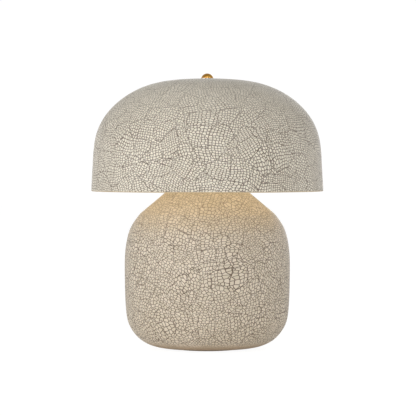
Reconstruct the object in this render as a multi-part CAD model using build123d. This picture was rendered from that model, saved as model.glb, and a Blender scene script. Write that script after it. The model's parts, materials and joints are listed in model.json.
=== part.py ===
"""A table lamp with a crackle-glazed ceramic body and a dome shade of the same ware.

The body is a hollow, bulbous ceramic vase on a felt foot. A threaded tube runs up its axis, from a nut in
the recess of the foot to a brass cap on the neck, and carries a harp saddle and a lamp socket with a turn
knob. A wire harp stands in the saddle and holds the dome shade on a swivelling stud, under a half-ball
brass nut. A small globe bulb is screwed into the socket.

Millimetres, +Z up. The origin is the centre of the foot's underside, on the table. The front is -Y, the
cord inlet is at the back, +Y, and the harp's legs are at +X and -X.
"""

import math
import os

from build123d import *

# Fits that several pieces share
press_gap = 0.05
running_gap = 0.05
loose_gap = 0.3
cut_overrun = 5.0
round_limit_share = 0.45

# Ceramic body: radii follow the belly radius and heights the body height, from the foot face upwards
body_belly_radius = 150.0
body_height = 326.0
body_wall = 7.0
body_outline_shares = [
    (0.4000, 0.0000),
    (0.6980, 0.0190),
    (0.8000, 0.0445),
    (0.8920, 0.0880),
    (0.9540, 0.1410),
    (0.9810, 0.2080),
    (0.9970, 0.4000),
    (0.9940, 0.5200),
    (0.9665, 0.6100),
    (0.9115, 0.6800),
    (0.8290, 0.7350),
    (0.7145, 0.7825),
]
neck_radius = 38.0
neck_wall = 8.0
neck_blend_length = 8.5
neck_straight = 2.0
neck_lip_round = 2.5

# Foot: felt disc, and a recess that holds the lower nut
felt_thickness = 2.0
felt_inset = 2.0
recess_radius = 30.0
recess_headroom = 3.5
stem_hole_gap = 0.7

# Cord inlet at the back, square to the wall at the body outline's point of this index
inlet_point_index = 4
inlet_dip_degrees = 22
inlet_radius = 6.0
inlet_seat_depth = 1.8
inlet_seat_margin = 0.5
grommet_flange_width = 3.0
grommet_flange_thickness = 2.6
grommet_lip_width = 1.2
grommet_lip_thickness = 2.0
grommet_lip_gap = 2.0
grommet_wall = 2.05
grommet_round = 0.8

# Threaded tube up the middle, with what clamps it at the foot
stem_radius = 5.0
stem_wall = 1.6
stem_below_nut = 2.5
stem_wire_hole_radius = 2.8
stem_wire_hole_rise = 32.0
plate_washer_margin = 8.0
plate_washer_thickness = 1.6
lock_washer_width = 3.6
lock_washer_thickness = 1.4
lock_washer_split = 1.2
foot_nut_wall = 3.0
foot_nut_height = 5.0
nut_chamfer = 0.9

# Brass cap on the neck, over a rubber ring, under its nut
gasket_thickness = 1.5
gasket_inset = 0.5
cap_overhang = 3.0
cap_plate = 1.4
cap_rim_drop = 3.2
cap_rise = 4.5
cap_hub_width = 8.0
cap_spigot_depth = 9.0
cap_spigot_wall = 1.6
cap_spigot_gap = 0.5
neck_nut_wall = 2.6
neck_nut_height = 4.5

# Harp saddle, and the sleeves that lock the harp to it
saddle_plate = 1.5
saddle_web = 2.0
tongue_side_gap = 0.5
tongue_hold = 6.5
sleeve_axis_x = 36.0
sleeve_play = 1.35
sleeve_wall = 0.8
sleeve_height = 14.0
sleeve_bead = 0.5
sleeve_travel = 12.0

# Wire harp, from its feet up to the boss at its top
harp_wire_radius = 2.0
harp_tongue_gap = 0.2
harp_foot_rise = 3.0
harp_leg_spare = 1.0
harp_bow_out = 14.8
harp_bend_radius = 30.0
harp_side_straight = 27.7
harp_top_flat = 9.0
harp_boss_wall = 3.5
harp_boss_height = 6.0

# Swivelling stud that carries the shade
spigot_radius = 2.5
rivet_head_overlap = 1.9
rivet_head_thickness = 1.2
stud_radius = 3.15
stud_tip_chamfer = 0.6
stud_seat_width = 12.0
stud_seat_thickness = 2.0
seat_pad_overhang = 2.0
seat_pad_thickness = 2.0

# Dome shade: radii follow the rim radius and heights the shade height, from the rim upwards
shade_rim_radius = 210.0
shade_height = 203.0
shade_wall = 5.0
shade_hole_gap = 1.85
shade_flat_radius = 21.0
shade_outline_shares = [
    (0.2350, 0.9945),
    (0.4670, 0.9570),
    (0.6820, 0.8600),
    (0.8580, 0.7005),
    (0.9620, 0.4840),
    (0.9870, 0.2430),
]
shade_flare_degrees = 2.7
shade_rim_round = 1.8

# Half-ball nut on top, a little flatter than a true half ball, and its washer
finial_radius = 11.1
finial_height = 8.6
finial_edge_chamfer = 0.3
finial_bore_depth = 6.2
finial_washer_overhang = 0.3
finial_washer_thickness = 1.4

# Bulb: a small globe on a screw cap
bulb_length = 74.0
bulb_globe_radius = 22.5
bulb_glass = 0.8
bulb_shoulder_degrees = 52
bulb_neck_hold = 8.0
bulb_tip_radius = 4.6
bulb_tip_height = 1.6
bulb_insulator_height = 4.2
bulb_insulator_plug = 3.0
bulb_cap_radius = 13.0
bulb_cap_wall = 0.4
bulb_cap_collar = 3.0
thread_depth = 0.8
thread_pitch = 3.6
thread_turns = 4
bulb_post_radius = 3.2
bulb_post_height = 26.0
bulb_flare_height = 5.0
filament_count = 4
filament_radius = 0.9
filament_gap = 1.8
filament_length = 19.0
filament_hub_thickness = 1.0
filament_hub_margin = 0.6

# Socket, from its cap upwards
socket_hub_wall = 3.0
socket_hub_height = 6.0
socket_cap_wall = 0.8
socket_cap_height = 14.0
socket_cap_round = 4.0
socket_shell_wall = 0.6
socket_shell_overlap = 4.5
socket_shell_bead = 0.7
socket_mouth_rise = 4.8
liner_wall = 0.6
liner_gap = 0.1
liner_short = 1.2
screw_shell_wall = 0.4
screw_shell_gap = 0.3
screw_shell_floor = 0.8
screw_shell_lip = 2.4
contact_height = 2.4
contact_radius = 3.4
contact_hole_gap = 1.2
contact_gap = 0.1
block_side_gap = 0.3
block_floor_gap = 0.4
block_bottom_chamfer = 1.5
block_flat_depth = 3.6
block_roof = 2.6
terminal_head_radius = 2.9
terminal_head_thickness = 1.7
terminal_shank_radius = 1.5
terminal_shank_length = 5.0
set_screw_radius = 1.6
set_screw_proud = 0.6
screw_slot_width = 0.7
screw_slot_depth = 0.8

# Turn switch: its shaft leaves the socket to the front
switch_shaft_radius = 2.0
switch_shaft_root = 3.0
switch_hole_gap = 0.5
switch_rim_margin = 1.5
knob_standoff = 7.0
knob_wall = 3.5
knob_length = 14.0
knob_neck_wall = 1.6
knob_neck_length = 3.0
knob_bore_depth = 8.0
knob_flute_count = 14
knob_flute_radius = 0.7
knob_end_round = 1.2

# Radii round the stem and the neck
neck_bore_radius = neck_radius - neck_wall
stem_bore_radius = stem_radius - stem_wall
stem_clearance_radius = stem_radius + press_gap
cap_hub_radius = stem_radius + cap_hub_width
socket_hub_radius = stem_radius + socket_hub_wall

# Radii of the bulb cap and the socket, each layer round the one inside it
thread_bulge = thread_depth / 2
bulb_thread_mid = bulb_cap_radius - thread_bulge
bulb_cap_bore = bulb_thread_mid - thread_bulge - bulb_cap_wall
bulb_neck_radius = bulb_cap_bore - press_gap
screw_shell_mid = bulb_thread_mid + thread_depth + screw_shell_gap
liner_inner_radius = screw_shell_mid + thread_bulge + screw_shell_wall + liner_gap
liner_outer_radius = liner_inner_radius + liner_wall
socket_shell_inner = liner_outer_radius + press_gap
socket_shell_outer = socket_shell_inner + socket_shell_wall
socket_cap_inner = socket_shell_outer + press_gap
socket_cap_outer = socket_cap_inner + socket_cap_wall
block_radius = liner_inner_radius - block_side_gap

# Levels from the table up to the neck
foot_z = felt_thickness
foot_nut_z = foot_z + recess_headroom + stem_below_nut
lock_washer_z = foot_nut_z + foot_nut_height
plate_washer_z = lock_washer_z + lock_washer_thickness
recess_roof_z = plate_washer_z + plate_washer_thickness
neck_top_z = foot_z + body_height
cap_seat_z = neck_top_z + gasket_thickness
cap_top_z = cap_seat_z + cap_plate + cap_rise
saddle_z = cap_top_z + neck_nut_height

# Levels of the socket and the bulb
socket_z = saddle_z + saddle_plate
cup_z = socket_z + socket_hub_height
cup_top_z = cup_z + socket_cap_height
socket_shell_z = cup_top_z - socket_shell_overlap
block_z = cup_z + socket_cap_wall + block_floor_gap
switch_z = cup_top_z + switch_rim_margin + switch_hole_gap + switch_shaft_radius
block_top_z = switch_z + switch_shaft_radius + block_roof
bulb_z = block_top_z + contact_height
thread_z = bulb_z + bulb_tip_height + bulb_insulator_height
thread_top_z = thread_z + thread_pitch * thread_turns
bulb_collar_z = thread_top_z + bulb_cap_collar
bulb_glass_z = bulb_collar_z - bulb_neck_hold
socket_top_z = thread_top_z + socket_mouth_rise

# Harp: the sleeve holds the leg and the saddle's tongue side by side
sleeve_fill = 2 * harp_wire_radius + harp_tongue_gap + saddle_plate
sleeve_inner_radius = sleeve_fill / 2 + sleeve_play
harp_leg_x = sleeve_axis_x - sleeve_fill / 2 + harp_wire_radius
tongue_x = harp_leg_x + harp_wire_radius + harp_tongue_gap
saddle_end_x = tongue_x + saddle_plate
harp_side_x = harp_leg_x + harp_bow_out
harp_arch_radius = harp_side_x - harp_top_flat
harp_foot_z = socket_z + harp_foot_rise
harp_leg_top_z = socket_z + sleeve_height + sleeve_travel + harp_leg_spare
harp_bend_turn = math.acos(1 - harp_bow_out / (2 * harp_bend_radius))
harp_side_z = harp_leg_top_z + 2 * harp_bend_radius * math.sin(harp_bend_turn)
harp_arch_z = harp_side_z + harp_side_straight
harp_wire_top_z = harp_arch_z + harp_arch_radius
boss_z = harp_wire_top_z - harp_boss_height / 2
boss_top_z = harp_wire_top_z + harp_boss_height / 2

# Levels of the shade and what clamps it
stud_seat_z = boss_top_z + running_gap
seat_pad_z = stud_seat_z + stud_seat_thickness
shade_ceiling_z = seat_pad_z + seat_pad_thickness
shade_top_z = shade_ceiling_z + shade_wall
shade_rim_z = shade_top_z - shade_height
finial_z = shade_top_z + finial_washer_thickness
stud_top_z = finial_z + finial_bore_depth - loose_gap


def column(radius, bottom, top):
    """A solid cylinder on the lamp's axis, between two heights."""
    standing = (Align.CENTER, Align.CENTER, Align.MIN)
    return Pos(0, 0, bottom) * Cylinder(radius, top - bottom, align=standing)


def ring(outer, inner, bottom, top):
    """A plain washer or sleeve on the lamp's axis."""
    return column(outer, bottom, top) - column(inner, bottom, top)


def rod(radius, start, end):
    """A solid round bar between two points."""
    along = Vector(*end) - Vector(*start)
    return Solid.make_cylinder(radius, along.length, Plane(origin=start, z_dir=along))


def turned(edges):
    """The solid that a closed outline of edges, drawn as radius and height, makes round the axis."""
    return revolve(make_face([Plane.XZ * edge for edge in edges]), Axis.Z)


def turned_points(points):
    """The same for a closed outline with straight sides."""
    return turned([Line(start, end) for start, end in zip(points, points[1:] + points[:1])])


def hex_nut(wall, bottom, height):
    """A hexagonal nut on the stem, with its corners turned down at both faces."""
    flat = stem_radius + wall
    corner = flat / math.cos(math.radians(30))
    top = bottom + height
    blank = Pos(0, 0, bottom) * extrude(RegularPolygon(flat, 6, major_radius=False), height)
    envelope = turned_points([
        (0, bottom),
        (corner - nut_chamfer, bottom),
        (corner, bottom + nut_chamfer / 2),
        (corner, top - nut_chamfer / 2),
        (corner - nut_chamfer, top),
        (0, top),
    ])
    return (blank & envelope) - column(stem_clearance_radius, bottom - cut_overrun, top + cut_overrun)


def slotted(screw, radius, top):
    """A screw that stands along the axis, with a driver slot across its top face."""
    return screw - Pos(0, 0, top) * Box(2 * radius + cut_overrun, screw_slot_width, 2 * screw_slot_depth)


def thread_edges(mid_radius):
    """The outline of a rounded thread as rings: it bulges out and in once a pitch."""
    edges = []
    for turn in range(thread_turns):
        start_z = thread_z + turn * thread_pitch
        middle_z = start_z + thread_pitch / 2
        end_z = start_z + thread_pitch
        crest = (mid_radius + thread_bulge, (start_z + middle_z) / 2)
        root = (mid_radius - thread_bulge, (middle_z + end_z) / 2)
        edges.append(ThreePointArc((mid_radius, start_z), crest, (mid_radius, middle_z)))
        edges.append(ThreePointArc((mid_radius, middle_z), root, (mid_radius, end_z)))
    return edges


def body_outline(radius, bottom, height):
    """The body's outline points from the foot to the shoulder cone, for this belly radius and height."""
    return [(share_r * radius, bottom + share_z * height) for share_r, share_z in body_outline_shares]


def inlet_place():
    """The frame of the cord inlet, on the outer wall at the back, with its Z axis out of the wall."""
    y, z = body_outline(body_belly_radius, foot_z, body_height)[inlet_point_index]
    return Pos(0, y, z) * Rot(X=-90 - inlet_dip_degrees)


def make_felt():
    """The felt disc under the foot, which closes the recess."""
    foot_radius = body_outline_shares[0][0] * body_belly_radius
    return column(foot_radius - felt_inset, 0, felt_thickness)


def make_body():
    """The ceramic vase: outer form, parallel hollow, neck bore, foot recess, and the stem and cord holes."""
    points = body_outline(body_belly_radius, foot_z, body_height)
    corner = Vector(neck_radius, neck_top_z - neck_lip_round - neck_straight - neck_blend_length)
    cone = (corner - Vector(*points[-1])).normalized()
    cone_tangent = (cone.X, cone.Y)
    cone_end = corner - cone * neck_blend_length
    neck_start = corner + Vector(0, neck_blend_length)
    lip_start = (neck_radius, neck_top_z - neck_lip_round)
    lip_end = (neck_radius - neck_lip_round, neck_top_z)
    outer = turned([
        Line((0, foot_z), points[0]),
        Spline(*points, tangents=((1, 0), cone_tangent)),
        Line(points[-1], (cone_end.X, cone_end.Y)),
        TangentArc((cone_end.X, cone_end.Y), (neck_start.X, neck_start.Y), tangent=cone_tangent),
        Line((neck_start.X, neck_start.Y), lip_start),
        TangentArc(lip_start, lip_end, tangent=(0, 1)),
        Line(lip_end, (0, neck_top_z)),
        Line((0, neck_top_z), (0, foot_z)),
    ])
    floor_z = foot_z + body_wall
    open_z = neck_top_z + cut_overrun
    hollow_points = body_outline(body_belly_radius - body_wall, floor_z, body_height - 2 * body_wall)
    throat_z = hollow_points[-1][1] - (hollow_points[-1][0] - neck_bore_radius) * cone.Y / cone.X
    hollow = turned([
        Line((0, floor_z), hollow_points[0]),
        Spline(*hollow_points, tangents=((1, 0), cone_tangent)),
        Line(hollow_points[-1], (neck_bore_radius, throat_z)),
        Line((neck_bore_radius, throat_z), (neck_bore_radius, open_z)),
        Line((neck_bore_radius, open_z), (0, open_z)),
        Line((0, open_z), (0, floor_z)),
    ])
    boss = column(recess_radius + body_wall, foot_z, recess_roof_z + body_wall)
    recess = column(recess_radius, foot_z - cut_overrun, recess_roof_z)
    stem_hole = column(stem_radius + stem_hole_gap, foot_z, recess_roof_z + body_wall + cut_overrun)
    inlet_hole = column(inlet_radius, -body_wall - cut_overrun, cut_overrun)
    seat_radius = inlet_radius + grommet_flange_width + inlet_seat_margin
    inlet_cut = inlet_place() * (inlet_hole + column(seat_radius, -inlet_seat_depth, cut_overrun))
    return outer - (hollow - boss) - recess - stem_hole - inlet_cut


def make_grommet():
    """The rubber bush that lines the cord inlet, with a flange outside and a push-in lip inside."""
    face_z = grommet_flange_thickness - inlet_seat_depth
    lip_z = -body_wall - grommet_lip_gap
    end_z = lip_z - grommet_lip_thickness
    sleeve_radius = inlet_radius - press_gap
    bore_radius = sleeve_radius - grommet_wall
    flange_radius = inlet_radius + grommet_flange_width
    lip_radius = inlet_radius + grommet_lip_width
    bush = turned_points([
        (bore_radius, end_z),
        (sleeve_radius, end_z),
        (lip_radius, lip_z - grommet_round),
        (lip_radius, lip_z),
        (sleeve_radius, lip_z),
        (sleeve_radius, -inlet_seat_depth),
        (flange_radius, -inlet_seat_depth),
        (flange_radius, face_z - grommet_round),
        (flange_radius - grommet_round, face_z),
        (bore_radius, face_z),
    ])
    return inlet_place() * bush


def make_stem():
    """The threaded tube, with a side hole inside the body where the wires go in."""
    tube = ring(stem_radius, stem_bore_radius, foot_nut_z - stem_below_nut, cup_z - press_gap)
    hole_z = recess_roof_z + stem_wire_hole_rise
    return tube - rod(stem_wire_hole_radius, (0, 0, hole_z), (0, stem_radius + cut_overrun, hole_z))


def make_plate_washer():
    """The wide steel washer against the recess roof."""
    return ring(recess_radius - plate_washer_margin, stem_clearance_radius, plate_washer_z, recess_roof_z)


def make_lock_washer():
    """The split spring washer between the foot nut and the plate washer."""
    radius = stem_radius + lock_washer_width
    washer = ring(radius, stem_clearance_radius, lock_washer_z, plate_washer_z)
    towards_front = (Align.CENTER, Align.MAX, Align.MIN)
    split = Box(lock_washer_split, radius + cut_overrun, lock_washer_thickness, align=towards_front)
    return washer - Pos(0, 0, lock_washer_z) * split


def make_foot_nut():
    """The hexagonal nut that clamps the tube at the foot."""
    return hex_nut(foot_nut_wall, foot_nut_z, foot_nut_height)


def make_gasket():
    """The rubber ring between the neck and its cap."""
    return ring(neck_radius - neck_lip_round, neck_bore_radius + gasket_inset, neck_top_z, cap_seat_z)


def make_neck_cap():
    """The spun brass cap on the neck: a shallow rise, a turned-down rim and a centring spigot."""
    rim_outer = neck_radius + cap_overhang
    rim_inner = rim_outer - cap_plate
    spigot_outer = neck_bore_radius - cap_spigot_gap
    spigot_inner = spigot_outer - cap_spigot_wall
    spigot_end_z = cap_seat_z - cap_spigot_depth
    rim_end_z = cap_seat_z - cap_rim_drop
    plate_top_z = cap_seat_z + cap_plate
    hub_under_z = cap_top_z - cap_plate
    corners = [
        (rim_inner, plate_top_z),
        (spigot_outer, plate_top_z),
        (cap_hub_radius, cap_top_z),
        (stem_clearance_radius, cap_top_z),
        (stem_clearance_radius, hub_under_z),
        (cap_hub_radius, hub_under_z),
        (spigot_inner, cap_seat_z),
        (spigot_inner, spigot_end_z),
        (spigot_outer, spigot_end_z),
        (spigot_outer, cap_seat_z),
        (rim_inner, cap_seat_z),
        (rim_inner, rim_end_z),
        (rim_outer, rim_end_z),
        (rim_outer, cap_seat_z),
    ]
    sides = [Line(start, end) for start, end in zip(corners, corners[1:])]
    return turned(sides + [TangentArc(corners[-1], corners[0], tangent=(0, 1))])


def make_neck_nut():
    """The brass nut that holds the neck cap down and the saddle up."""
    return hex_nut(neck_nut_wall, cap_top_z, neck_nut_height)


def make_saddle():
    """The strip under the socket, turned up at both ends into tongues for the harp."""
    saddle_width = 2 * (stem_radius + saddle_web)
    tongue_width = 2 * (math.sqrt(sleeve_inner_radius ** 2 - (sleeve_fill / 2) ** 2) - tongue_side_gap)
    tongue_height = saddle_plate + sleeve_travel + tongue_hold
    on_floor = (Align.CENTER, Align.CENTER, Align.MIN)
    saddle = Pos(0, 0, saddle_z) * Box(2 * saddle_end_x, saddle_width, saddle_plate, align=on_floor)
    for side in (-1, 1):
        place = Pos(side * (saddle_end_x - saddle_plate / 2), 0, saddle_z)
        saddle = saddle + place * Box(saddle_plate, tongue_width, tongue_height, align=on_floor)
    return saddle - column(stem_clearance_radius, saddle_z - cut_overrun, socket_z + cut_overrun)


def make_sleeve(side):
    """The sliding sleeve that locks one harp leg to its saddle tongue, beaded at both ends."""
    outer = sleeve_inner_radius + sleeve_wall
    top_z = socket_z + sleeve_height
    sleeve = ring(outer, sleeve_inner_radius, socket_z, top_z)
    for bead_z in (socket_z, top_z - 2 * sleeve_bead):
        sleeve = sleeve + ring(outer + sleeve_bead, sleeve_inner_radius, bead_z, bead_z + 2 * sleeve_bead)
    return Pos(side * sleeve_axis_x, 0, 0) * sleeve


def make_harp():
    """The wire harp, with the pierced boss at its top that the stud turns in."""
    turn = math.degrees(harp_bend_turn)
    leg = Line((harp_leg_x, harp_foot_z), (harp_leg_x, harp_leg_top_z))
    bend_out = JernArc(leg @ 1, leg % 1, harp_bend_radius, -turn)
    bend_back = JernArc(bend_out @ 1, bend_out % 1, harp_bend_radius, turn)
    side = Line(bend_back @ 1, (harp_side_x, harp_arch_z))
    arch = JernArc(side @ 1, (0, 1), harp_arch_radius, 90)
    top = Line(arch @ 1, (0, harp_wire_top_z))
    path = Wire([Plane.XZ * edge for edge in (leg, bend_out, bend_back, side, arch, top)])
    half = sweep(Pos(harp_leg_x, 0, harp_foot_z) * Circle(harp_wire_radius), path=path)
    boss = column(spigot_radius + running_gap + harp_boss_wall, boss_z, boss_top_z)
    bore = column(spigot_radius + running_gap, boss_z - cut_overrun, boss_top_z + cut_overrun)
    return half + mirror(half, Plane.YZ) + boss - bore


def make_stud():
    """The riveted stud that turns in the harp's boss: rivet head, spigot, seat and threaded end."""
    head_radius = spigot_radius + rivet_head_overlap
    head_z = boss_z - running_gap
    return turned_points([
        (0, head_z - rivet_head_thickness),
        (head_radius - rivet_head_thickness / 2, head_z - rivet_head_thickness),
        (head_radius, head_z - rivet_head_thickness / 2),
        (head_radius, head_z),
        (spigot_radius, head_z),
        (spigot_radius, stud_seat_z),
        (stud_radius + stud_seat_width, stud_seat_z),
        (stud_radius + stud_seat_width, seat_pad_z),
        (stud_radius, seat_pad_z),
        (stud_radius, stud_top_z - stud_tip_chamfer),
        (stud_radius - stud_tip_chamfer, stud_top_z),
        (0, stud_top_z),
    ])


def make_seat_pad():
    """The felt ring between the stud's seat and the shade."""
    radius = stud_radius + stud_seat_width + seat_pad_overhang
    return ring(radius, stud_radius + press_gap, seat_pad_z, shade_ceiling_z)


def dome_edges(rim_radius, top_z):
    """The dome's outline from the middle of its top to the rim, then back along the rim plane."""
    height = top_z - shade_rim_z
    flare = math.radians(shade_flare_degrees)
    points = [(shade_flat_radius, top_z)]
    for share_r, share_z in shade_outline_shares:
        points.append((share_r * rim_radius, shade_rim_z + share_z * height))
    points.append((rim_radius, shade_rim_z))
    return [
        Line((0, top_z), points[0]),
        Spline(*points, tangents=((1, 0), (math.sin(flare), -math.cos(flare)))),
        Line(points[-1], (0, shade_rim_z)),
        Line((0, shade_rim_z), (0, top_z)),
    ]


def make_shade():
    """The ceramic dome: a thin wall with a flat seat at the crown, a stud hole and a rounded rim."""
    outer = turned(dome_edges(shade_rim_radius, shade_top_z))
    inner = turned(dome_edges(shade_rim_radius - shade_wall, shade_ceiling_z))
    hole = column(stud_radius + shade_hole_gap, shade_ceiling_z - cut_overrun, shade_top_z + cut_overrun)
    shell = outer - inner - hole
    rim_edges = shell.edges().filter_by(GeomType.CIRCLE).group_by(Axis.Z)[0]
    return fillet(rim_edges, min(shade_rim_round, shade_wall * round_limit_share))


def make_finial_washer():
    """The plated washer between the shade and the half-ball nut, seen as a pale line under it."""
    return ring(finial_radius + finial_washer_overhang, stud_radius + press_gap, shade_top_z, finial_z)


def make_finial():
    """The half-ball brass nut, with a blind hole for the stud."""
    ball_radius = (finial_radius**2 + finial_height**2) / (2 * finial_height)
    ball = Pos(0, 0, finial_z + finial_height - ball_radius) * Sphere(ball_radius)
    waist = turned_points([
        (0, finial_z),
        (finial_radius - finial_edge_chamfer, finial_z),
        (finial_radius, finial_z + finial_edge_chamfer),
        (finial_radius, finial_z + finial_height),
        (0, finial_z + finial_height),
    ])
    bore = column(stud_radius + running_gap, finial_z - cut_overrun, finial_z + finial_bore_depth)
    return (ball & waist) - bore


def make_bulb_tip():
    """The domed solder contact at the end of the bulb."""
    top_z = bulb_z + bulb_tip_height
    return turned([
        TangentArc((0, bulb_z), (bulb_tip_radius, top_z), tangent=(1, 0)),
        Line((bulb_tip_radius, top_z), (0, top_z)),
        Line((0, top_z), (0, bulb_z)),
    ])


def make_bulb_insulator():
    """The black glass insulator between the solder contact and the screw cap."""
    return turned_points([
        (0, bulb_z + bulb_tip_height),
        (bulb_tip_radius, bulb_z + bulb_tip_height),
        (bulb_cap_bore - press_gap, thread_z),
        (bulb_cap_bore - press_gap, thread_z + bulb_insulator_plug),
        (0, thread_z + bulb_insulator_plug),
    ])


def make_bulb_cap():
    """The bulb's screw cap: a thin shell with a rounded thread and a plain collar."""
    return turned(thread_edges(bulb_thread_mid) + [
        Line((bulb_thread_mid, thread_top_z), (bulb_thread_mid, bulb_collar_z)),
        Line((bulb_thread_mid, bulb_collar_z), (bulb_cap_bore, bulb_collar_z)),
        Line((bulb_cap_bore, bulb_collar_z), (bulb_cap_bore, thread_z)),
        Line((bulb_cap_bore, thread_z), (bulb_thread_mid, thread_z)),
    ])


def bulb_glass_form(skin):
    """The globe and neck as a solid, drawn in by this much all over and open to the cap."""
    top_z = bulb_z + bulb_length
    centre_z = top_z - bulb_globe_radius
    globe = bulb_globe_radius - skin
    neck = bulb_neck_radius - skin
    lean = math.radians(bulb_shoulder_degrees)
    join = (globe * math.cos(lean), centre_z - globe * math.sin(lean))
    return turned([
        Line((neck, bulb_glass_z), (neck, bulb_collar_z)),
        Spline((neck, bulb_collar_z), join, tangents=((0, 1), (math.sin(lean), math.cos(lean)))),
        ThreePointArc(join, (globe, centre_z), (0, centre_z + globe)),
        Line((0, centre_z + globe), (0, bulb_glass_z)),
        Line((0, bulb_glass_z), (neck, bulb_glass_z)),
    ])


def make_bulb_glass():
    """The hollow glass globe and the neck that stands in the cap."""
    return bulb_glass_form(0) - bulb_glass_form(bulb_glass)


def make_bulb_post():
    """The flared glass post that closes the bulb's neck and carries the filaments."""
    flare = bulb_neck_radius - bulb_glass - press_gap
    return turned_points([
        (0, bulb_glass_z),
        (flare, bulb_glass_z),
        (flare, bulb_glass_z + bulb_glass),
        (bulb_post_radius, bulb_glass_z + bulb_flare_height),
        (bulb_post_radius, bulb_glass_z + bulb_post_height),
        (0, bulb_glass_z + bulb_post_height),
    ])


def make_filaments():
    """The straight filaments that hang round the post from a small hub on its top."""
    circle = bulb_post_radius + filament_gap
    hub_z = bulb_glass_z + bulb_post_height
    hub_radius = circle + filament_radius + filament_hub_margin
    filaments = column(hub_radius, hub_z, hub_z + filament_hub_thickness)
    for i in range(filament_count):
        angle = 2 * math.pi * i / filament_count
        x, y = circle * math.cos(angle), circle * math.sin(angle)
        filaments = filaments + rod(filament_radius, (x, y, hub_z - filament_length), (x, y, hub_z))
    return filaments


def make_socket_cap():
    """The brass cup of the socket, with its threaded hub on the stem and a hole for the set screw."""
    arc_z = cup_z + socket_cap_round
    arc_r = socket_cap_outer - socket_cap_round
    floor_z = cup_z + socket_cap_wall
    cup = turned([
        Line((socket_hub_radius, socket_z), (socket_hub_radius, cup_z)),
        Line((socket_hub_radius, cup_z), (arc_r, cup_z)),
        TangentArc((arc_r, cup_z), (socket_cap_outer, arc_z), tangent=(1, 0)),
        Line((socket_cap_outer, arc_z), (socket_cap_outer, cup_top_z)),
        Line((socket_cap_outer, cup_top_z), (socket_cap_inner, cup_top_z)),
        Line((socket_cap_inner, cup_top_z), (socket_cap_inner, arc_z)),
        TangentArc((socket_cap_inner, arc_z), (arc_r, floor_z), tangent=(0, -1)),
        Line((arc_r, floor_z), (stem_bore_radius, floor_z)),
        Line((stem_bore_radius, floor_z), (stem_bore_radius, cup_z)),
        Line((stem_bore_radius, cup_z), (stem_clearance_radius, cup_z)),
        Line((stem_clearance_radius, cup_z), (stem_clearance_radius, socket_z)),
        Line((stem_clearance_radius, socket_z), (socket_hub_radius, socket_z)),
    ])
    screw_z = socket_z + socket_hub_height / 2
    return cup - rod(set_screw_radius + press_gap, (0, 0, screw_z), (0, socket_cap_outer, screw_z))


def make_set_screw():
    """The slotted screw in the socket's hub that bears on the stem."""
    length = socket_hub_radius - stem_clearance_radius + set_screw_proud
    screw = slotted(column(set_screw_radius, 0, length), set_screw_radius, length)
    return Pos(0, stem_clearance_radius, socket_z + socket_hub_height / 2) * Rot(X=-90) * screw


def make_socket_shell():
    """The brass shell of the socket, beaded at its mouth, with a hole for the switch shaft."""
    shell = ring(socket_shell_outer, socket_shell_inner, socket_shell_z, socket_top_z)
    bead_outer = socket_shell_outer + socket_shell_bead
    bead_z = socket_top_z - 2 * socket_shell_bead
    shell = shell + ring(bead_outer, socket_shell_inner, bead_z, socket_top_z)
    return shell - switch_passage(switch_shaft_radius + switch_hole_gap)


def make_liner():
    """The card sleeve that insulates the socket shell from the live parts."""
    liner = ring(liner_outer_radius, liner_inner_radius, socket_shell_z, socket_top_z - liner_short)
    return liner - switch_passage(switch_shaft_radius + switch_hole_gap)


def switch_passage(radius):
    """The round way from the socket's middle out to the front, for the switch shaft."""
    root_y = running_gap - switch_shaft_root
    return rod(radius, (0, root_y, switch_z), (0, -socket_cap_outer - cut_overrun, switch_z))


def make_block():
    """The moulded switch block, with flats for the terminals and a bore for the switch shaft."""
    flat_x = block_radius - block_flat_depth
    block = turned_points([
        (0, block_z),
        (block_radius - block_bottom_chamfer, block_z),
        (block_radius, block_z + block_bottom_chamfer),
        (block_radius, block_top_z),
        (0, block_top_z),
    ])
    for side in (-1, 1):
        away = Pos(side * (flat_x + block_radius), 0, block_z)
        block = block - away * Box(2 * block_radius, 2 * block_radius, 2 * socket_cap_height)
        hole_start = (side * block_radius, 0, terminal_z())
        hole_end = (side * (flat_x - terminal_shank_length - loose_gap), 0, terminal_z())
        block = block - rod(terminal_shank_radius + press_gap, hole_start, hole_end)
    return block - switch_passage(switch_shaft_radius + running_gap)


def terminal_z():
    """The height of the terminal screws, half way up the block's flats."""
    return block_z + socket_cap_height / 2


def make_terminal(side):
    """The slotted binding screw on one flat of the switch block."""
    screw = column(terminal_head_radius, 0, terminal_head_thickness)
    screw = screw + column(terminal_shank_radius, -terminal_shank_length, 0)
    screw = slotted(screw, terminal_head_radius, terminal_head_thickness)
    return Pos(side * (block_radius - block_flat_depth), 0, terminal_z()) * Rot(Y=side * 90) * screw


def make_screw_shell():
    """The threaded shell that takes the bulb's cap, with a floor that the centre contact stands in."""
    outer_mid = screw_shell_mid + screw_shell_wall
    lip_z = thread_top_z + screw_shell_lip
    floor_z = block_top_z + screw_shell_floor
    hole = contact_radius + contact_hole_gap
    outside = turned(thread_edges(outer_mid) + [
        Line((outer_mid, thread_top_z), (outer_mid, lip_z)),
        Line((outer_mid, lip_z), (0, lip_z)),
        Line((0, lip_z), (0, block_top_z)),
        Line((0, block_top_z), (outer_mid, block_top_z)),
        Line((outer_mid, block_top_z), (outer_mid, thread_z)),
    ])
    inside = turned(thread_edges(screw_shell_mid) + [
        Line((screw_shell_mid, thread_top_z), (screw_shell_mid, lip_z)),
        Line((screw_shell_mid, lip_z), (0, lip_z)),
        Line((0, lip_z), (0, floor_z)),
        Line((0, floor_z), (screw_shell_mid, floor_z)),
        Line((screw_shell_mid, floor_z), (screw_shell_mid, thread_z)),
    ])
    return outside - inside - column(hole, block_top_z - cut_overrun, floor_z + cut_overrun)


def make_contact():
    """The raised brass contact that meets the end of the bulb."""
    return column(contact_radius, block_top_z, bulb_z - contact_gap)


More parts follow.
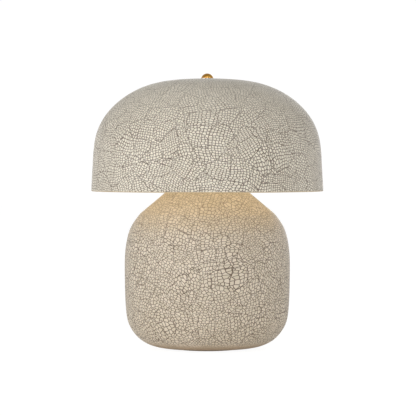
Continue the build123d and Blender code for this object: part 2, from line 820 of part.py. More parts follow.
def knob_start_y():
    """How far in front of the axis the knob begins."""
    return socket_shell_outer + knob_standoff


def make_switch_shaft():
    """The round shaft of the turn switch."""
    end_y = knob_start_y() + knob_bore_depth - loose_gap
    return rod(switch_shaft_radius, (0, -switch_shaft_root, switch_z), (0, -end_y, switch_z))


def make_switch_knob():
    """The fluted knob on the switch shaft, with a narrow neck towards the socket."""
    radius = switch_shaft_radius + knob_wall
    waist = switch_shaft_radius + knob_neck_wall
    round_start = (radius, knob_length - knob_end_round)
    round_end = (radius - knob_end_round, knob_length)
    knob = turned([
        Line((0, 0), (waist, 0)),
        Line((waist, 0), (waist, knob_neck_length)),
        Line((waist, knob_neck_length), (radius, knob_neck_length)),
        Line((radius, knob_neck_length), round_start),
        TangentArc(round_start, round_end, tangent=(0, 1)),
        Line(round_end, (0, knob_length)),
        Line((0, knob_length), (0, 0)),
    ])
    for i in range(knob_flute_count):
        angle = 2 * math.pi * i / knob_flute_count
        x, y = radius * math.cos(angle), radius * math.sin(angle)
        knob = knob - rod(knob_flute_radius, (x, y, 0), (x, y, knob_length + cut_overrun))
    knob = knob - column(switch_shaft_radius + press_gap, -cut_overrun, knob_bore_depth)
    return Pos(0, -knob_start_y(), switch_z) * Rot(X=90) * knob


def main():
    """Builds every piece and writes it to its own file."""
    pieces = {
        "foot_felt": make_felt(),
        "body_vase": make_body(),
        "cord_grommet": make_grommet(),
        "stem_tube": make_stem(),
        "plate_washer": make_plate_washer(),
        "lock_washer": make_lock_washer(),
        "foot_nut": make_foot_nut(),
        "neck_gasket": make_gasket(),
        "neck_cap": make_neck_cap(),
        "neck_nut": make_neck_nut(),
        "harp_saddle": make_saddle(),
        "harp_wire": make_harp(),
        "harp_sleeve_left": make_sleeve(-1),
        "harp_sleeve_right": make_sleeve(1),
        "socket_cap": make_socket_cap(),
        "socket_set_screw": make_set_screw(),
        "socket_shell": make_socket_shell(),
        "socket_liner": make_liner(),
        "switch_block": make_block(),
        "terminal_screw_left": make_terminal(-1),
        "terminal_screw_right": make_terminal(1),
        "screw_shell": make_screw_shell(),
        "centre_contact": make_contact(),
        "switch_shaft": make_switch_shaft(),
        "switch_knob": make_switch_knob(),
        "shade_stud": make_stud(),
        "shade_seat_pad": make_seat_pad(),
        "shade_dome": make_shade(),
        "finial_washer": make_finial_washer(),
        "finial": make_finial(),
        "bulb_tip": make_bulb_tip(),
        "bulb_insulator": make_bulb_insulator(),
        "bulb_cap": make_bulb_cap(),
        "bulb_glass": make_bulb_glass(),
        "bulb_post": make_bulb_post(),
        "bulb_filaments": make_filaments(),
    }
    os.makedirs("parts", exist_ok=True)
    for name, shape in pieces.items():
        export_step(shape, f"parts/{name}.step")
    print("rim", shade_rim_z, "crest", shade_top_z, "overall", finial_z + finial_height)
    print("socket", socket_z, "bulb", bulb_z, "to", bulb_z + bulb_length, "harp boss", boss_z, boss_top_z)


main()
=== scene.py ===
import json
import math

import bmesh
import bpy
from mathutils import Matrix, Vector


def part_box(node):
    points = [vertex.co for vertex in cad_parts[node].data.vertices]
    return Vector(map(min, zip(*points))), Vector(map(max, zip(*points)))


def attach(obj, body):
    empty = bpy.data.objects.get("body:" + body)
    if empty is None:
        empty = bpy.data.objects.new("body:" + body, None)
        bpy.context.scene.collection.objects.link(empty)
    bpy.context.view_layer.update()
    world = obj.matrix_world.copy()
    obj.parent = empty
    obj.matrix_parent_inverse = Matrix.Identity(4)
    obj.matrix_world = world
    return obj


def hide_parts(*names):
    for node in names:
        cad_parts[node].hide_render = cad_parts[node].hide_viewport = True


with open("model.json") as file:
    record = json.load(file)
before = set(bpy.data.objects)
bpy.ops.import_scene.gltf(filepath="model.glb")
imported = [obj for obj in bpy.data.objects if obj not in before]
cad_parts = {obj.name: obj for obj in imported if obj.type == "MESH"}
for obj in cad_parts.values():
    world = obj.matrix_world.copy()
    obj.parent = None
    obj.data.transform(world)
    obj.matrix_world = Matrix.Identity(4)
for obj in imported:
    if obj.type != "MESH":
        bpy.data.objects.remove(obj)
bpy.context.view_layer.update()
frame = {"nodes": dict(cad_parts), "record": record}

MM = 0.001

# The camera, fitted to the lamp's outline in the photograph, and how near and how far it sees
IMAGE_PX = 416
SENSOR_MM = 36.0
FOCAL_PX = 2208
CAMERA_PLACE = (0.0013, -4.0, 0.345)
CAMERA_DIP_DEGREES = 1.29
CAMERA_REACH = (0.05, 100.0)

# A real crack is a hair's breadth, and is drawn as wide as it needs to show. Its ink is full up to the first
# of two shares of that width from its middle, and gone at the second.
CRACK_MM = 0.9
TILE_CRACK_EDGE = (0.2, 0.8)
PANEL_CRACK_EDGE = (0.16, 0.64)
PATCH_CRACK_EDGE = (0.0, 0.7)

# The glaze is laid out in patches, each turned and shifted by chance, so that no two are alike. A crack shows
# where two patches meet, and fades as their border slants: at 0 it cuts straight through the wall, and at 1
# it runs along under it.
PATCH_MM = 84.0
PATCH_TURN = math.radians(28)
PATCH_SHIFT_MM = 20 * PATCH_MM
PATCH_BORDER_SLANT = (0.55, 0.8)

# How far the rows of tiles bend and over what length, and how far a single crack strays
BEND_MM = 20.0
BEND_LENGTH_MM = 90.0
STRAY_MM = 0.8
STRAY_LENGTH_MM = 6.0

# Older cracks part each patch into panels, and the tiles start anew in each. The tiles are a little wider
# than tall: fewer of them fit across the wall than up it.
PANEL_RANDOMNESS = 0.8
PANEL_SHIFT_TILES = 9
TILE_CROWDING = (0.9, 1.12, 1.0)

# How the cracks' ink comes and goes: the size of its clouds and flecks, what the sum of the two runs between
# and the ink that this leaves, and the share of it at the foot and higher up, where the cracks are paler,
# partly as painted light on the shade's upper slope and on the body's shoulder under the bulb's glow
INK_CLOUD_MM = 28.0
INK_FLECK_MM = 6.0
INK_NOISE = (0.75, 1.25)
INK_LEFT = (0.92, 1.0)
INK_AT_FOOT = 0.3
INK_WHERE_PALE_AND_LIT = 0.62

# The glaze clouds over a hand's breadth, and each tile has a tone of its own. Between these two values, the
# sum of the two takes it from its ground colour to its shadow colour.
GLAZE_CLOUD_MM = 70.0
GLAZE_NOISE = (0.45, 1.5)

# The satin glaze, which is a glass, rougher where there is ink, and each crack as a fine groove in it
GLAZE_ROUGHNESS = (0.5, 0.75)
GLAZE_COAT = 0.3
GLAZE_COAT_ROUGHNESS = 0.3
CRACK_DEPTH_MM = 0.1
CRACK_RELIEF = 0.25
GLASS_IOR = 1.5

# The glaze on each piece: its colours, the size of its tiles and panels, and how irregular the tiles are.
# Then heights in millimetres: where the ink comes in above the foot or rim, where it pales higher up, which
# is partly painted light, and the point on the axis that the wall faces away from, with the share of its lean
# to the sky that counts.
BODY_LOOK = {
    "ground": "#E2D6C4",
    "shadow": "#D2C6B1",
    "crack": "#4A2E14",
    "tile_mm": 5.8,
    "panel_mm": 26.0,
    "randomness": 0.76,
    "foot_mm": (5.0, 20.0),
    "pale_and_lit_mm": (190.0, 258.0),
    "middle_mm": 150.0,
    "upright": 0.5,
}
SHADE_LOOK = {
    "ground": "#ECE5D5",
    "shadow": "#DDD5C4",
    "crack": "#442813",
    "tile_mm": 4.7,
    "panel_mm": 34.0,
    "randomness": 0.56,
    "foot_mm": (285.0, 288.0),
    "pale_and_lit_mm": (398.0, 472.0),
    "middle_mm": 285.0,
    "upright": 0.8,
}

# The inside of each piece: the colour of its plain glaze. Bare clay shows at the shade's rim, where its warm
# tone is partly painted light from the bulb, and at the body's foot, which is darker at its bottom edge. Each
# band fades out between two heights above the piece's lowest point. The shade's inner wall faces a point this
# far below its rim.
SHADE_INSIDE = "#F4EDDF"
SHADE_FACES_BELOW_RIM_MM = 40
# bare clay on the shade's rim, its warm beige partly painted light from the bulb on the lip
RIM_CLAY_AND_WARM_LIGHT = ("#CDB793", 0.6, 2.2)
BODY_INSIDE = "#C9B79B"
FOOT_CLAY = ("#B8A184", 3, 17)
# darker towards the very bottom of the foot, in a band of its own
FOOT_DARK_EDGE = ("#7A6248", 0, 2.5)

# The felt pieces: how round their edges are, as a share of their thickness, the steps that they are spun in,
# and how near two of their points are merged. The disc under the foot is closed but for a pinprick, and the
# ring's hole fits the shade's stud.
FELT_ROUNDING = 0.4
FELT_SPIN_STEPS = 96
FELT_MERGE_MM = 0.01
DISC_HOLE_MM = 0.1
RING_HOLE_MM = 3.3

# Light: each softbox's place, size in metres and power in watts, and what they all aim at
SOFTBOXES = {
    "front_softbox": ((-0.35, -3.4, 0.6), 2.8, 16.0),
    "low_softbox": ((0.5, -2.6, 0.12), 1.0, 7.8),
    "top_softbox": ((0.0, -2.3, 2.6), 2.0, 9.5),
    "high_left_softbox": ((-1.8, -1.7, 2.3), 1.1, 5.2),
    "high_right_softbox": ((2.0, -1.3, 2.3), 1.0, 3.6),
    "left_softbox": ((-2.6, -1.4, 0.7), 1.6, 16.2),
    "side_left_softbox": ((-3.0, -0.1, 0.6), 1.0, 4.6),
    "side_right_softbox": ((3.0, 0.5, 0.6), 1.2, 3.2),
    "back_softbox": ((0.5, 3.4, 1.0), 2.4, 9.0),
}
SOFTBOX_AIM = (0, 0, 0.28)

# The room's light on the lamp, level with it and overhead, and how far up it has fallen off
ROOM_LOW = 1.03
ROOM_HIGH = 0.35
ROOM_FALL = 0.4

# The white paper: how bright it is to the eye, behind and under the lamp, what its floor gives back to the
# lamp, and how far that floor reaches and lies below the lamp's foot
BACKDROP_SEEN = 1.02
FLOOR_SEEN = 0.95
FLOOR_GLOW = 0.14
FLOOR_REACH = 12.0
FLOOR_GAP_MM = 0.1

# The lit bulb, and the disc of light over its foot that stands for the shade's lit inside
BULB_GLOW = 0.75
BOUNCE_WATTS = 0.3
BOUNCE_SIZE = 0.32
BOUNCE_RISE_MM = 20


def linear(hex_colour):
    """The linear RGBA of an sRGB hex colour."""
    channels = [int(hex_colour[i:i + 2], 16) / 255 for i in (1, 3, 5)]
    return tuple(c / 12.92 if c <= 0.04045 else ((c + 0.055) / 1.055) ** 2.4 for c in channels) + (1.0,)


def add_node(tree, kind, inputs=(), **settings):
    """Adds a node, sets its properties and fills its sockets.

    A socket takes a plain value, an output of another node, or another node, which stands for the first of
    its outputs that is in use.
    """
    made = tree.nodes.new(kind)
    for name, value in settings.items():
        setattr(made, name, value)
    for socket, value in dict(inputs).items():
        if isinstance(value, bpy.types.Node):
            value = next(output for output in value.outputs if output.enabled)
        if isinstance(value, bpy.types.NodeSocket):
            tree.links.new(value, made.inputs[socket])
        else:
            made.inputs[socket].default_value = value
    return made


def new_material(name):
    """A material without nodes yet, and its node tree."""
    material = bpy.data.materials.new(name)
    material.use_nodes = True
    material.node_tree.nodes.clear()
    return material, material.node_tree


def move_by_noise(tree, point, length_mm, amount_mm, detail):
    """The point, moved smoothly by up to an amount, over a length."""
    noise = add_node(tree, "ShaderNodeTexNoise", {"Vector": point, "Scale": 1 / length_mm, "Detail": detail})
    centred = add_node(tree, "ShaderNodeVectorMath", {0: noise.outputs["Color"], 1: (0.5, 0.5, 0.5)},
                       operation="SUBTRACT")
    shift = add_node(tree, "ShaderNodeVectorMath", {0: centred, "Scale": 2 * amount_mm}, operation="SCALE")
    return add_node(tree, "ShaderNodeVectorMath", {0: point, 1: shift}, operation="ADD")


def lay_flat(tree, point, patch, look):
    """The point on its patch, with the patch laid out flat and square to the wall at its middle."""
    up = (0.0, 0.0, 1.0)
    middle = (0.0, 0.0, look["middle_mm"])
    from_axis = add_node(tree, "ShaderNodeVectorMath", {0: patch.outputs["Position"], 1: middle},
                         operation="SUBTRACT")
    leaning = add_node(tree, "ShaderNodeVectorMath", {0: from_axis, 1: (1.0, 1.0, look["upright"])},
                       operation="MULTIPLY")
    outward = add_node(tree, "ShaderNodeVectorMath", {0: leaning}, operation="NORMALIZE")
    level = add_node(tree, "ShaderNodeVectorMath", {0: up, 1: outward}, operation="CROSS_PRODUCT")
    across = add_node(tree, "ShaderNodeVectorMath", {0: level}, operation="NORMALIZE")
    along = add_node(tree, "ShaderNodeVectorMath", {0: outward, 1: across}, operation="CROSS_PRODUCT")
    flat = add_node(tree, "ShaderNodeCombineXYZ", {
        "X": add_node(tree, "ShaderNodeVectorMath", {0: point, 1: across}, operation="DOT_PRODUCT"),
        "Y": add_node(tree, "ShaderNodeVectorMath", {0: point, 1: along}, operation="DOT_PRODUCT"),
    })
    chance = add_node(tree, "ShaderNodeSeparateColor", {"Color": patch.outputs["Color"]}).outputs["Blue"]
    turn = add_node(tree, "ShaderNodeMapRange",
                    {"Value": chance, "To Min": -PATCH_TURN, "To Max": PATCH_TURN})
    turned = add_node(tree, "ShaderNodeVectorRotate", {"Vector": flat, "Angle": turn}, rotation_type="Z_AXIS")
    shift = add_node(tree, "ShaderNodeVectorMath", {0: patch.outputs["Color"], "Scale": PATCH_SHIFT_MM},
                     operation="SCALE")
    return add_node(tree, "ShaderNodeVectorMath", {0: turned, 1: shift}, operation="ADD")


def crack_line(tree, cells, cell_mm, crack_edge, dimensions):
    """The cracks between the cells of a pattern: 1 in a crack and 0 beside it."""
    edge = add_node(tree, "ShaderNodeTexVoronoi", cells, feature="DISTANCE_TO_EDGE",
                    voronoi_dimensions=dimensions)
    full, gone = (share * CRACK_MM / cell_mm for share in crack_edge)
    return add_node(tree, "ShaderNodeMapRange",
                    {"Value": edge, "From Min": full, "From Max": gone, "To Min": 1.0, "To Max": 0.0},
                    interpolation_type="SMOOTHSTEP")


def patch_border(tree, place, cells, patch):
    """The cracks where two patches meet, but not where their border runs along under the wall."""
    neighbour = add_node(tree, "ShaderNodeTexVoronoi", cells, feature="F2")
    apart = add_node(tree, "ShaderNodeVectorMath",
                     {0: patch.outputs["Position"], 1: neighbour.outputs["Position"]}, operation="SUBTRACT")
    between = add_node(tree, "ShaderNodeVectorMath", {0: apart}, operation="NORMALIZE")
    leaning = add_node(tree, "ShaderNodeVectorMath", {0: between, 1: place.outputs["Normal"]},
                       operation="DOT_PRODUCT")
    slant = add_node(tree, "ShaderNodeMath", {0: leaning}, operation="ABSOLUTE")
    straight, along = PATCH_BORDER_SLANT
    shown = add_node(tree, "ShaderNodeMapRange",
                     {"Value": slant, "From Min": straight, "From Max": along, "To Min": 1.0, "To Max": 0.0})
    line = crack_line(tree, cells, PATCH_MM, PATCH_CRACK_EDGE, "3D")
    return add_node(tree, "ShaderNodeMath", {0: shown, 1: line}, operation="MULTIPLY")


def ink_amount(tree, point, look):
    """How much ink a crack holds from place to place."""
    cloud = add_node(tree, "ShaderNodeTexNoise", {"Vector": point, "Scale": 1 / INK_CLOUD_MM, "Detail": 2.0})
    fleck = add_node(tree, "ShaderNodeTexNoise", {"Vector": point, "Scale": 1 / INK_FLECK_MM, "Detail": 1.0})
    noise = add_node(tree, "ShaderNodeMath", {0: cloud.outputs["Fac"], 1: fleck.outputs["Fac"]},
                     operation="ADD")
    ink = add_node(tree, "ShaderNodeMapRange", {
        "Value": noise,
        "From Min": INK_NOISE[0],
        "From Max": INK_NOISE[1],
        "To Min": INK_LEFT[0],
        "To Max": INK_LEFT[1],
    })
    height = add_node(tree, "ShaderNodeSeparateXYZ", {"Vector": point}).outputs["Z"]
    for heights_mm, below, above in (
        (look["foot_mm"], INK_AT_FOOT, 1.0),
        # paler cracks higher up, partly painted light on the lit upper slope and shoulder
        (look["pale_and_lit_mm"], 1.0, INK_WHERE_PALE_AND_LIT),
    ):
        share = add_node(tree, "ShaderNodeMapRange", {
            "Value": height,
            "From Min": heights_mm[0],
            "From Max": heights_mm[1],
            "To Min": below,
            "To Max": above,
        })
        ink = add_node(tree, "ShaderNodeMath", {0: ink, 1: share}, operation="MULTIPLY")
    return ink


def bare_clay_and_inside(tree, place, colour, inner_wall):
    """The colour, with bare clay at the rim or foot, and the plain glaze of the inner wall.

    The rim's warm clay tone is partly painted light, and the foot darkens at its bottom edge.
    """
    height = add_node(tree, "ShaderNodeSeparateXYZ", {"Vector": place.outputs["Object"]}).outputs["Z"]
    for low, high, clay in inner_wall["bands"]:
        bare = add_node(tree, "ShaderNodeMapRange",
                        {"Value": height, "From Min": low, "From Max": high, "To Min": 1.0, "To Max": 0.0},
                        interpolation_type="SMOOTHSTEP")
        colour = add_node(tree, "ShaderNodeMix", {"Factor": bare, "A": colour, "B": linear(clay)},
                          data_type="RGBA")
    from_middle = add_node(tree, "ShaderNodeVectorMath",
                           {0: place.outputs["Object"], 1: inner_wall["middle"]}, operation="SUBTRACT")
    facing = add_node(tree, "ShaderNodeVectorMath", {0: from_middle, 1: place.outputs["Normal"]},
                      operation="DOT_PRODUCT")
    inside = add_node(tree, "ShaderNodeMath", {0: facing, 1: 0.0}, operation="LESS_THAN")
    return add_node(tree, "ShaderNodeMix", {"Factor": inside, "A": colour, "B": linear(inner_wall["colour"])},
                    data_type="RGBA")


def crackle_glaze(name, look, inner_wall):
    """Earthenware under a cream glaze that crazed in the kiln, its cracks rubbed with brown ink.

    The eye gets a pale satin ground broken into small four- to six-sided tiles. They lie in rows that bend
    and turn from patch to patch, and meet older, longer cracks.
    """
    material, tree = new_material(name)
    place = add_node(tree, "ShaderNodeTexCoord")
    point = add_node(tree, "ShaderNodeVectorMath", {0: place.outputs["Object"], "Scale": 1 / MM},
                     operation="SCALE")
    bent = move_by_noise(tree, point, BEND_LENGTH_MM, BEND_MM, 1.0)
    bent = move_by_noise(tree, bent, STRAY_LENGTH_MM, STRAY_MM, 0.0)
    patches = {"Vector": bent, "Scale": 1 / PATCH_MM}
    patch = add_node(tree, "ShaderNodeTexVoronoi", patches, feature="F1")
    flat = lay_flat(tree, bent, patch, look)

    # the tiles start anew in each panel of a patch
    panels = {"Vector": flat, "Scale": 1 / look["panel_mm"], "Randomness": PANEL_RANDOMNESS}
    panel = add_node(tree, "ShaderNodeTexVoronoi", panels, feature="F1", voronoi_dimensions="2D")
    shift = add_node(tree, "ShaderNodeVectorMath",
                     {0: panel.outputs["Color"], "Scale": PANEL_SHIFT_TILES * look["tile_mm"]},
                     operation="SCALE")
    shifted = add_node(tree, "ShaderNodeVectorMath", {0: flat, 1: shift}, operation="ADD")
    crowded = add_node(tree, "ShaderNodeVectorMath", {0: shifted, 1: TILE_CROWDING}, operation="MULTIPLY")
    tiles = {"Vector": crowded, "Scale": 1 / look["tile_mm"], "Randomness": look["randomness"]}
    tile = add_node(tree, "ShaderNodeTexVoronoi", tiles, feature="F1", voronoi_dimensions="2D")

    # all the cracks together, as dark as the ink that they hold
    cracks = crack_line(tree, tiles, look["tile_mm"], TILE_CRACK_EDGE, "2D")
    for line in (
        crack_line(tree, panels, look["panel_mm"], PANEL_CRACK_EDGE, "2D"),
        patch_border(tree, place, patches, patch),
    ):
        cracks = add_node(tree, "ShaderNodeMath", {0: cracks, 1: line}, operation="MAXIMUM")
    ink = ink_amount(tree, point, look)
    cracks = add_node(tree, "ShaderNodeMath", {0: cracks, 1: ink}, operation="MULTIPLY")

    # the tiles differ a little from each other, and the glaze clouds
    cloud = add_node(tree, "ShaderNodeTexNoise",
                     {"Vector": point, "Scale": 1 / GLAZE_CLOUD_MM, "Detail": 3.0})
    tile_tone = add_node(tree, "ShaderNodeSeparateColor", {"Color": tile.outputs["Color"]}).outputs["Green"]
    noise = add_node(tree, "ShaderNodeMath", {0: cloud.outputs["Fac"], 1: tile_tone}, operation="ADD")
    tone = add_node(tree, "ShaderNodeMapRange",
                    {"Value": noise, "From Min": GLAZE_NOISE[0], "From Max": GLAZE_NOISE[1]})
    ground = add_node(tree, "ShaderNodeMix",
                      {"Factor": tone, "A": linear(look["ground"]), "B": linear(look["shadow"])},
                      data_type="RGBA")
    inked = add_node(tree, "ShaderNodeMix", {"Factor": cracks, "A": ground, "B": linear(look["crack"])},
                     data_type="RGBA")

    roughness = add_node(tree, "ShaderNodeMapRange",
                         {"Value": cracks, "To Min": GLAZE_ROUGHNESS[0], "To Max": GLAZE_ROUGHNESS[1]})
    groove = add_node(tree, "ShaderNodeMath", {0: 1.0, 1: cracks}, operation="SUBTRACT")
    relief = add_node(tree, "ShaderNodeBump",
                      {"Height": groove, "Strength": CRACK_RELIEF, "Distance": CRACK_DEPTH_MM * MM})
    shader = add_node(tree, "ShaderNodeBsdfPrincipled", {
        "Base Color": bare_clay_and_inside(tree, place, inked, inner_wall),
        "Roughness": roughness,
        "IOR": GLASS_IOR,
        "Coat Weight": GLAZE_COAT,
        "Coat Roughness": GLAZE_COAT_ROUGHNESS,
        "Normal": relief,
    })
    add_node(tree, "ShaderNodeOutputMaterial", {"Surface": shader})
    return material


def plated_metal(name, colour, tarnish, roughness, grain_mm):
    """Plated, spun or turned metal: a mirror-like face broken by turning marks and a little tarnish.

    Real turning marks are finer than the grain, which is as coarse as it needs to be to show.
    """
    stain_mm = 12 * grain_mm
    clean, stained = 0.42, 0.72
    smoothest, roughest = 0.7 * roughness, 1.4 * roughness
    depth_mm, mark_relief = 0.05, 0.15
    material, tree = new_material(name)
    place = add_node(tree, "ShaderNodeTexCoord").outputs["Object"]
    stain = add_node(tree, "ShaderNodeTexNoise",
                     {"Vector": place, "Scale": 1 / (stain_mm * MM), "Detail": 4.0})
    grain = add_node(tree, "ShaderNodeTexNoise",
                     {"Vector": place, "Scale": 1 / (grain_mm * MM), "Detail": 2.0})
    dulled = add_node(tree, "ShaderNodeMapRange",
                      {"Value": stain.outputs["Fac"], "From Min": clean, "From Max": stained})
    tone = add_node(tree, "ShaderNodeMix", {"Factor": dulled, "A": linear(colour), "B": linear(tarnish)},
                    data_type="RGBA")
    rough = add_node(tree, "ShaderNodeMapRange",
                     {"Value": grain.outputs["Fac"], "To Min": smoothest, "To Max": roughest})
    relief = add_node(tree, "ShaderNodeBump",
                      {"Height": grain.outputs["Fac"], "Strength": mark_relief, "Distance": depth_mm * MM})
    shader = add_node(tree, "ShaderNodeBsdfPrincipled",
                      {"Base Color": tone, "Metallic": 1.0, "Roughness": rough, "Normal": relief})
    add_node(tree, "ShaderNodeOutputMaterial", {"Surface": shader})
    return material


def dull_solid(name, light, dark, roughness, grain_mm, relief_mm, sheen=0.0):
    """Felt, rubber, card, resin and the like: a body colour with a grain of its own size.

    Where the real grain is too fine to show, it is drawn coarser.
    """
    grain_relief = 0.6
    material, tree = new_material(name)
    place = add_node(tree, "ShaderNodeTexCoord").outputs["Object"]
    grain = add_node(tree, "ShaderNodeTexNoise",
                     {"Vector": place, "Scale": 1 / (grain_mm * MM), "Detail": 5.0})
    tone = add_node(tree, "ShaderNodeMix",
                    {"Factor": grain.outputs["Fac"], "A": linear(dark), "B": linear(light)}, data_type="RGBA")
    relief = add_node(tree, "ShaderNodeBump",
                      {"Height": grain.outputs["Fac"], "Strength": grain_relief, "Distance": relief_mm * MM})
    shader = add_node(tree, "ShaderNodeBsdfPrincipled",
                      {"Base Color": tone, "Roughness": roughness, "Sheen Weight": sheen, "Normal": relief})
    add_node(tree, "ShaderNodeOutputMaterial", {"Surface": shader})
    return material


def lit_bulb_glass():
    """Frosted bulb glass, lit from inside at a warm 2700 K, faintly uneven where the frost is thicker."""
    frost_mm = 3
    evenness = 0.92
    material, tree = new_material("frosted_bulb_glass")
    place = add_node(tree, "ShaderNodeTexCoord").outputs["Object"]
    frost = add_node(tree, "ShaderNodeTexNoise",
                     {"Vector": place, "Scale": 1 / (frost_mm * MM), "Detail": 2.0}).outputs["Fac"]
    glow = add_node(tree, "ShaderNodeMapRange", {"Value": frost, "To Min": evenness, "To Max": 1.0})
    tint = add_node(tree, "ShaderNodeMix", {"Factor": glow, "A": linear("#FFC27A"), "B": linear("#FFD79E")},
                    data_type="RGBA")
    shader = add_node(tree, "ShaderNodeBsdfPrincipled", {
        "Base Color": linear("#CDB594"),
        "Roughness": 0.35,
        "Emission Color": tint,
        "Emission Strength": BULB_GLOW,
    })
    add_node(tree, "ShaderNodeOutputMaterial", {"Surface": shader})
    return material


def clear_glass(name, light, dark):
    """Thin clear glass of the bulb's inner post, with the faint streaks that pinching it left."""
    streak_mm = 2
    between, on_streak = 0.3, 0.7
    smooth, streaked = 0.03, 0.12
    material, tree = new_material(name)
    place = add_node(tree, "ShaderNodeTexCoord").outputs["Object"]
    streak = add_node(tree, "ShaderNodeTexNoise",
                      {"Vector": place, "Scale": 1 / (streak_mm * MM), "Detail": 2.0}).outputs["Fac"]
    tone = add_node(tree, "ShaderNodeMix", {"Factor": streak, "A": linear(dark), "B": linear(light)},
                    data_type="RGBA")
    rough = add_node(tree, "ShaderNodeMapRange", {
        "Value": streak,
        "From Min": between,
        "From Max": on_streak,
        "To Min": smooth,
        "To Max": streaked,
    })
    shader = add_node(tree, "ShaderNodeBsdfPrincipled",
                      {"Base Color": tone, "Roughness": rough, "Transmission Weight": 0.9, "IOR": GLASS_IOR})
    add_node(tree, "ShaderNodeOutputMaterial", {"Surface": shader})
    return material


def soft_disc(name, outer, inner, low, high):
    """A felt ring or disc with softly rounded outer edges, between two heights."""
    mesh = bmesh.new()
    profile = ((inner, low), (outer, low), (outer, high), (inner, high))
    corners = [mesh.verts.new((radius, 0, height)) for radius, height in profile]
    for first, second in zip(corners, corners[1:] + corners[:1]):
        mesh.edges.new((first, second))
    bmesh.ops.bevel(mesh, geom=corners[1:3], offset=(high - low) * FELT_ROUNDING, segments=3, profile=0.5,
                    affect="VERTICES", material=-1)
    bmesh.ops.spin(mesh, geom=mesh.verts[:] + mesh.edges[:], cent=(0, 0, 0), axis=(0, 0, 1),
                   angle=2 * math.pi, steps=FELT_SPIN_STEPS, use_merge=True)
    bmesh.ops.remove_doubles(mesh, verts=mesh.verts, dist=FELT_MERGE_MM * MM)
    bmesh.ops.recalc_face_normals(mesh, faces=mesh.faces)
    data = bpy.data.meshes.new(name)
    mesh.to_mesh(data)
    mesh.free()
    for face in data.polygons:
        face.use_smooth = True
    piece = bpy.data.objects.new(name, data)
    bpy.context.scene.collection.objects.link(piece)
    return piece


def paper_floor():
    """A sheet of white paper under the lamp."""
    mesh = bmesh.new()
    bmesh.ops.create_grid(mesh, x_segments=1, y_segments=1, size=FLOOR_REACH)
    data = bpy.data.meshes.new("floor")
    mesh.to_mesh(data)
    mesh.free()
    floor = bpy.data.objects.new("floor", data)
    floor.location.z = -FLOOR_GAP_MM * MM
    bpy.context.scene.collection.objects.link(floor)
    material, tree = new_material("floor_paper")
    # to the eye the paper is nearly all light, so shadows on it stay faint
    seen = add_node(tree, "ShaderNodeLightPath").outputs["Is Camera Ray"]
    tone = add_node(tree, "ShaderNodeMix", {"Factor": seen, "A": linear("#F4F2EE"), "B": linear("#6C6C6C")},
                    data_type="RGBA")
    glow = add_node(tree, "ShaderNodeMapRange", {"Value": seen, "To Min": FLOOR_GLOW, "To Max": FLOOR_SEEN})
    paper = add_node(tree, "ShaderNodeBsdfPrincipled", {
        "Base Color": tone,
        "Roughness": 0.9,
        "Specular IOR Level": 0.0,
        "Emission Color": linear("#FFFFFF"),
        "Emission Strength": glow,
    })
    # seen from below, the paper lets the eye through to the underside of the lamp
    below = add_node(tree, "ShaderNodeNewGeometry").outputs["Backfacing"]
    clear = add_node(tree, "ShaderNodeBsdfTransparent")
    sheet = add_node(tree, "ShaderNodeMixShader", {0: below, 1: paper, 2: clear})
    add_node(tree, "ShaderNodeOutputMaterial", {"Surface": sheet})
    data.materials.append(material)


def pale_room():
    """White paper all round to the eye, and for the lamp a room brighter low down than overhead."""
    world = bpy.data.worlds.new("studio")
    bpy.context.scene.world = world
    world.use_nodes = True
    tree = world.node_tree
    tree.nodes.clear()
    seen = add_node(tree, "ShaderNodeLightPath").outputs["Is Camera Ray"]
    way = add_node(tree, "ShaderNodeTexCoord").outputs["Generated"]
    up = add_node(tree, "ShaderNodeSeparateXYZ", {"Vector": way}).outputs["Z"]
    room = add_node(tree, "ShaderNodeMapRange",
                    {"Value": up, "From Max": ROOM_FALL, "To Min": ROOM_LOW, "To Max": ROOM_HIGH})
    strength = add_node(tree, "ShaderNodeMix", {"Factor": seen, "A": room, "B": BACKDROP_SEEN},
                        data_type="FLOAT")
    sky = add_node(tree, "ShaderNodeBackground", {"Color": linear("#FFFFFF"), "Strength": strength})
    add_node(tree, "ShaderNodeOutputWorld", {"Surface": sky})


def area_light(name, shape, size, power):
    """A soft light that still lies at the origin and points down."""
    light = bpy.data.lights.new(name, "AREA")
    light.shape = shape
    light.size = size
    light.energy = power
    holder = bpy.data.objects.new(name, light)
    bpy.context.scene.collection.objects.link(holder)
    return holder


def softboxes():
    """Square softboxes in front, high up, at both sides and behind, all aimed at the lamp's middle."""
    for name, (place, size, power) in SOFTBOXES.items():
        softbox = area_light(name, "SQUARE", size, power)
        softbox.location = place
        softbox.rotation_euler = (Vector(SOFTBOX_AIM) - Vector(place)).to_track_quat("-Z", "Y").to_euler()


def shade_bounce():
    """The lit bulb's light as the shade's pale inside sends it down, soft and warm, on the shoulder."""
    disc = area_light("shade_bounce", "DISK", BOUNCE_SIZE, BOUNCE_WATTS)
    disc.data.color = linear("#FFE9BE")[:3]
    disc.location = (0, 0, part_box("bulb_glass")[0].z + BOUNCE_RISE_MM * MM)
    disc.visible_camera = False
    disc.visible_glossy = False


def photo_camera():
    """The camera at the photograph's distance, height and field of view."""
    data = bpy.data.cameras.new("photo_camera")
    data.sensor_width = SENSOR_MM
    data.lens = FOCAL_PX / IMAGE_PX * SENSOR_MM
    data.clip_start, data.clip_end = CAMERA_REACH
    camera = bpy.data.objects.new("photo_camera", data)
    camera.location = CAMERA_PLACE
    camera.rotation_euler = (math.radians(90 - CAMERA_DIP_DEGREES), 0, 0)
    bpy.context.scene.collection.objects.link(camera)
    bpy.context.scene.camera = camera


def clay_band(low, clay, full_mm, gone_mm):
    """A band of bare clay above a piece's lowest point, as (height where full, height where gone, colour).

    At the shade's rim its warm tone is partly painted light.
    """
    return low.z + full_mm * MM, low.z + gone_mm * MM, clay


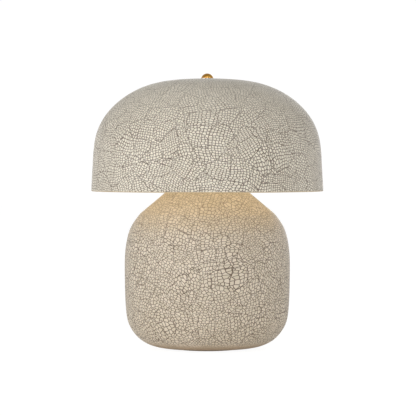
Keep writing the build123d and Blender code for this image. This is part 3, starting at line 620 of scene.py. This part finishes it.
# Materials by the record's slots
shade_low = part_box("shade_dome")[0]
body_low, body_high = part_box("body_vase")
shade_inside = {
    "colour": SHADE_INSIDE,
    "middle": (0.0, 0.0, shade_low.z - SHADE_FACES_BELOW_RIM_MM * MM),
    "bands": [clay_band(shade_low, *RIM_CLAY_AND_WARM_LIGHT)],
}
body_inside = {
    "colour": BODY_INSIDE,
    "middle": (0.0, 0.0, (body_low.z + body_high.z) / 2),
    "bands": [clay_band(body_low, *FOOT_CLAY), clay_band(body_low, *FOOT_DARK_EDGE)],
}
finishes = {
    "body_glaze": crackle_glaze("base_crackle_glaze", BODY_LOOK, body_inside),
    "shade_glaze": crackle_glaze("shade_crackle_glaze", SHADE_LOOK, shade_inside),
    # pressed wool: dull flecked brown with a faint fuzz
    "foot_felt": dull_solid("brown_wool_felt", "#4A3B2C", "#241B13",
                            roughness=0.95, grain_mm=0.8, relief_mm=0.4, sheen=0.4),
    # rubber out of a mould: dusty black with a soft gleam
    "black_rubber": dull_solid("black_moulded_rubber", "#22211F", "#121110",
                               roughness=0.6, grain_mm=1.5, relief_mm=0.05),
    # zinc plate: a cool grey, duller than nickel
    "zinc_steel": plated_metal("zinc_plated_steel", "#B9BBB8", "#8E908C", roughness=0.32, grain_mm=0.6),
    # nickel plate: bright, with a warm cast
    "nickel_steel": plated_metal("nickel_plated_steel", "#CFCBC2", "#A8A398", roughness=0.2, grain_mm=0.5),
    # sheet brass, spun: a plain yellow
    "polished_brass": plated_metal("spun_brass", "#D9B061", "#A87B34", roughness=0.22, grain_mm=0.6),
    # turned brass, polished and then aged: a deep gold
    "finial_brass": plated_metal("aged_polished_brass", "#F6B954", "#D48F35", roughness=0.16, grain_mm=0.8),
    # pressed card: matt tan fibres
    "liner_card": dull_solid("pressed_liner_card", "#A88A60", "#8A6E48",
                             roughness=0.85, grain_mm=0.9, relief_mm=0.08),
    # phenolic resin out of a mould: a brown near black, with a low gloss
    "dark_phenolic": dull_solid("brown_black_phenolic", "#2E221A", "#1A130E",
                                roughness=0.35, grain_mm=1.2, relief_mm=0.02),
    # vitrified glass: black, with a wet gloss
    "black_glass": dull_solid("black_vitrified_glass", "#15151A", "#0B0B0E",
                              roughness=0.12, grain_mm=2.0, relief_mm=0.01),
    "bulb_glass": lit_bulb_glass(),
    "clear_glass": clear_glass("clear_post_glass", "#EEF2EC", "#D5DCD4"),
    # filament strips coated with phosphor: a chalky yellow
    "lit_filament": dull_solid("phosphor_filament", "#F6C765", "#E8AE45",
                               roughness=0.6, grain_mm=0.5, relief_mm=0.02),
}
slots = {row["node"]: row["material_slot"] for row in frame["record"]["subparts"]}
for node_name, thing in frame["nodes"].items():
    thing.data.materials.clear()
    thing.data.materials.append(finishes[slots[node_name]])

# Soft pieces that stand for plain CAD solids
felt_low, felt_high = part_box("foot_felt")
felt = soft_disc("foot_felt_disc", felt_high.x, DISC_HOLE_MM * MM, felt_low.z, felt_high.z)
felt.data.materials.append(finishes["foot_felt"])
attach(felt, "base")
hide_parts("foot_felt")

pad_low, pad_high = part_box("shade_seat_pad")
pad = soft_disc("shade_seat_felt", pad_high.x, RING_HOLE_MM * MM, pad_low.z, pad_high.z)
pad.data.materials.append(finishes["foot_felt"])
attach(pad, "swivel")
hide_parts("shade_seat_pad")

# The studio
bpy.context.scene.view_settings.view_transform = "Standard"
paper_floor()
pale_room()
softboxes()
shade_bounce()
photo_camera()
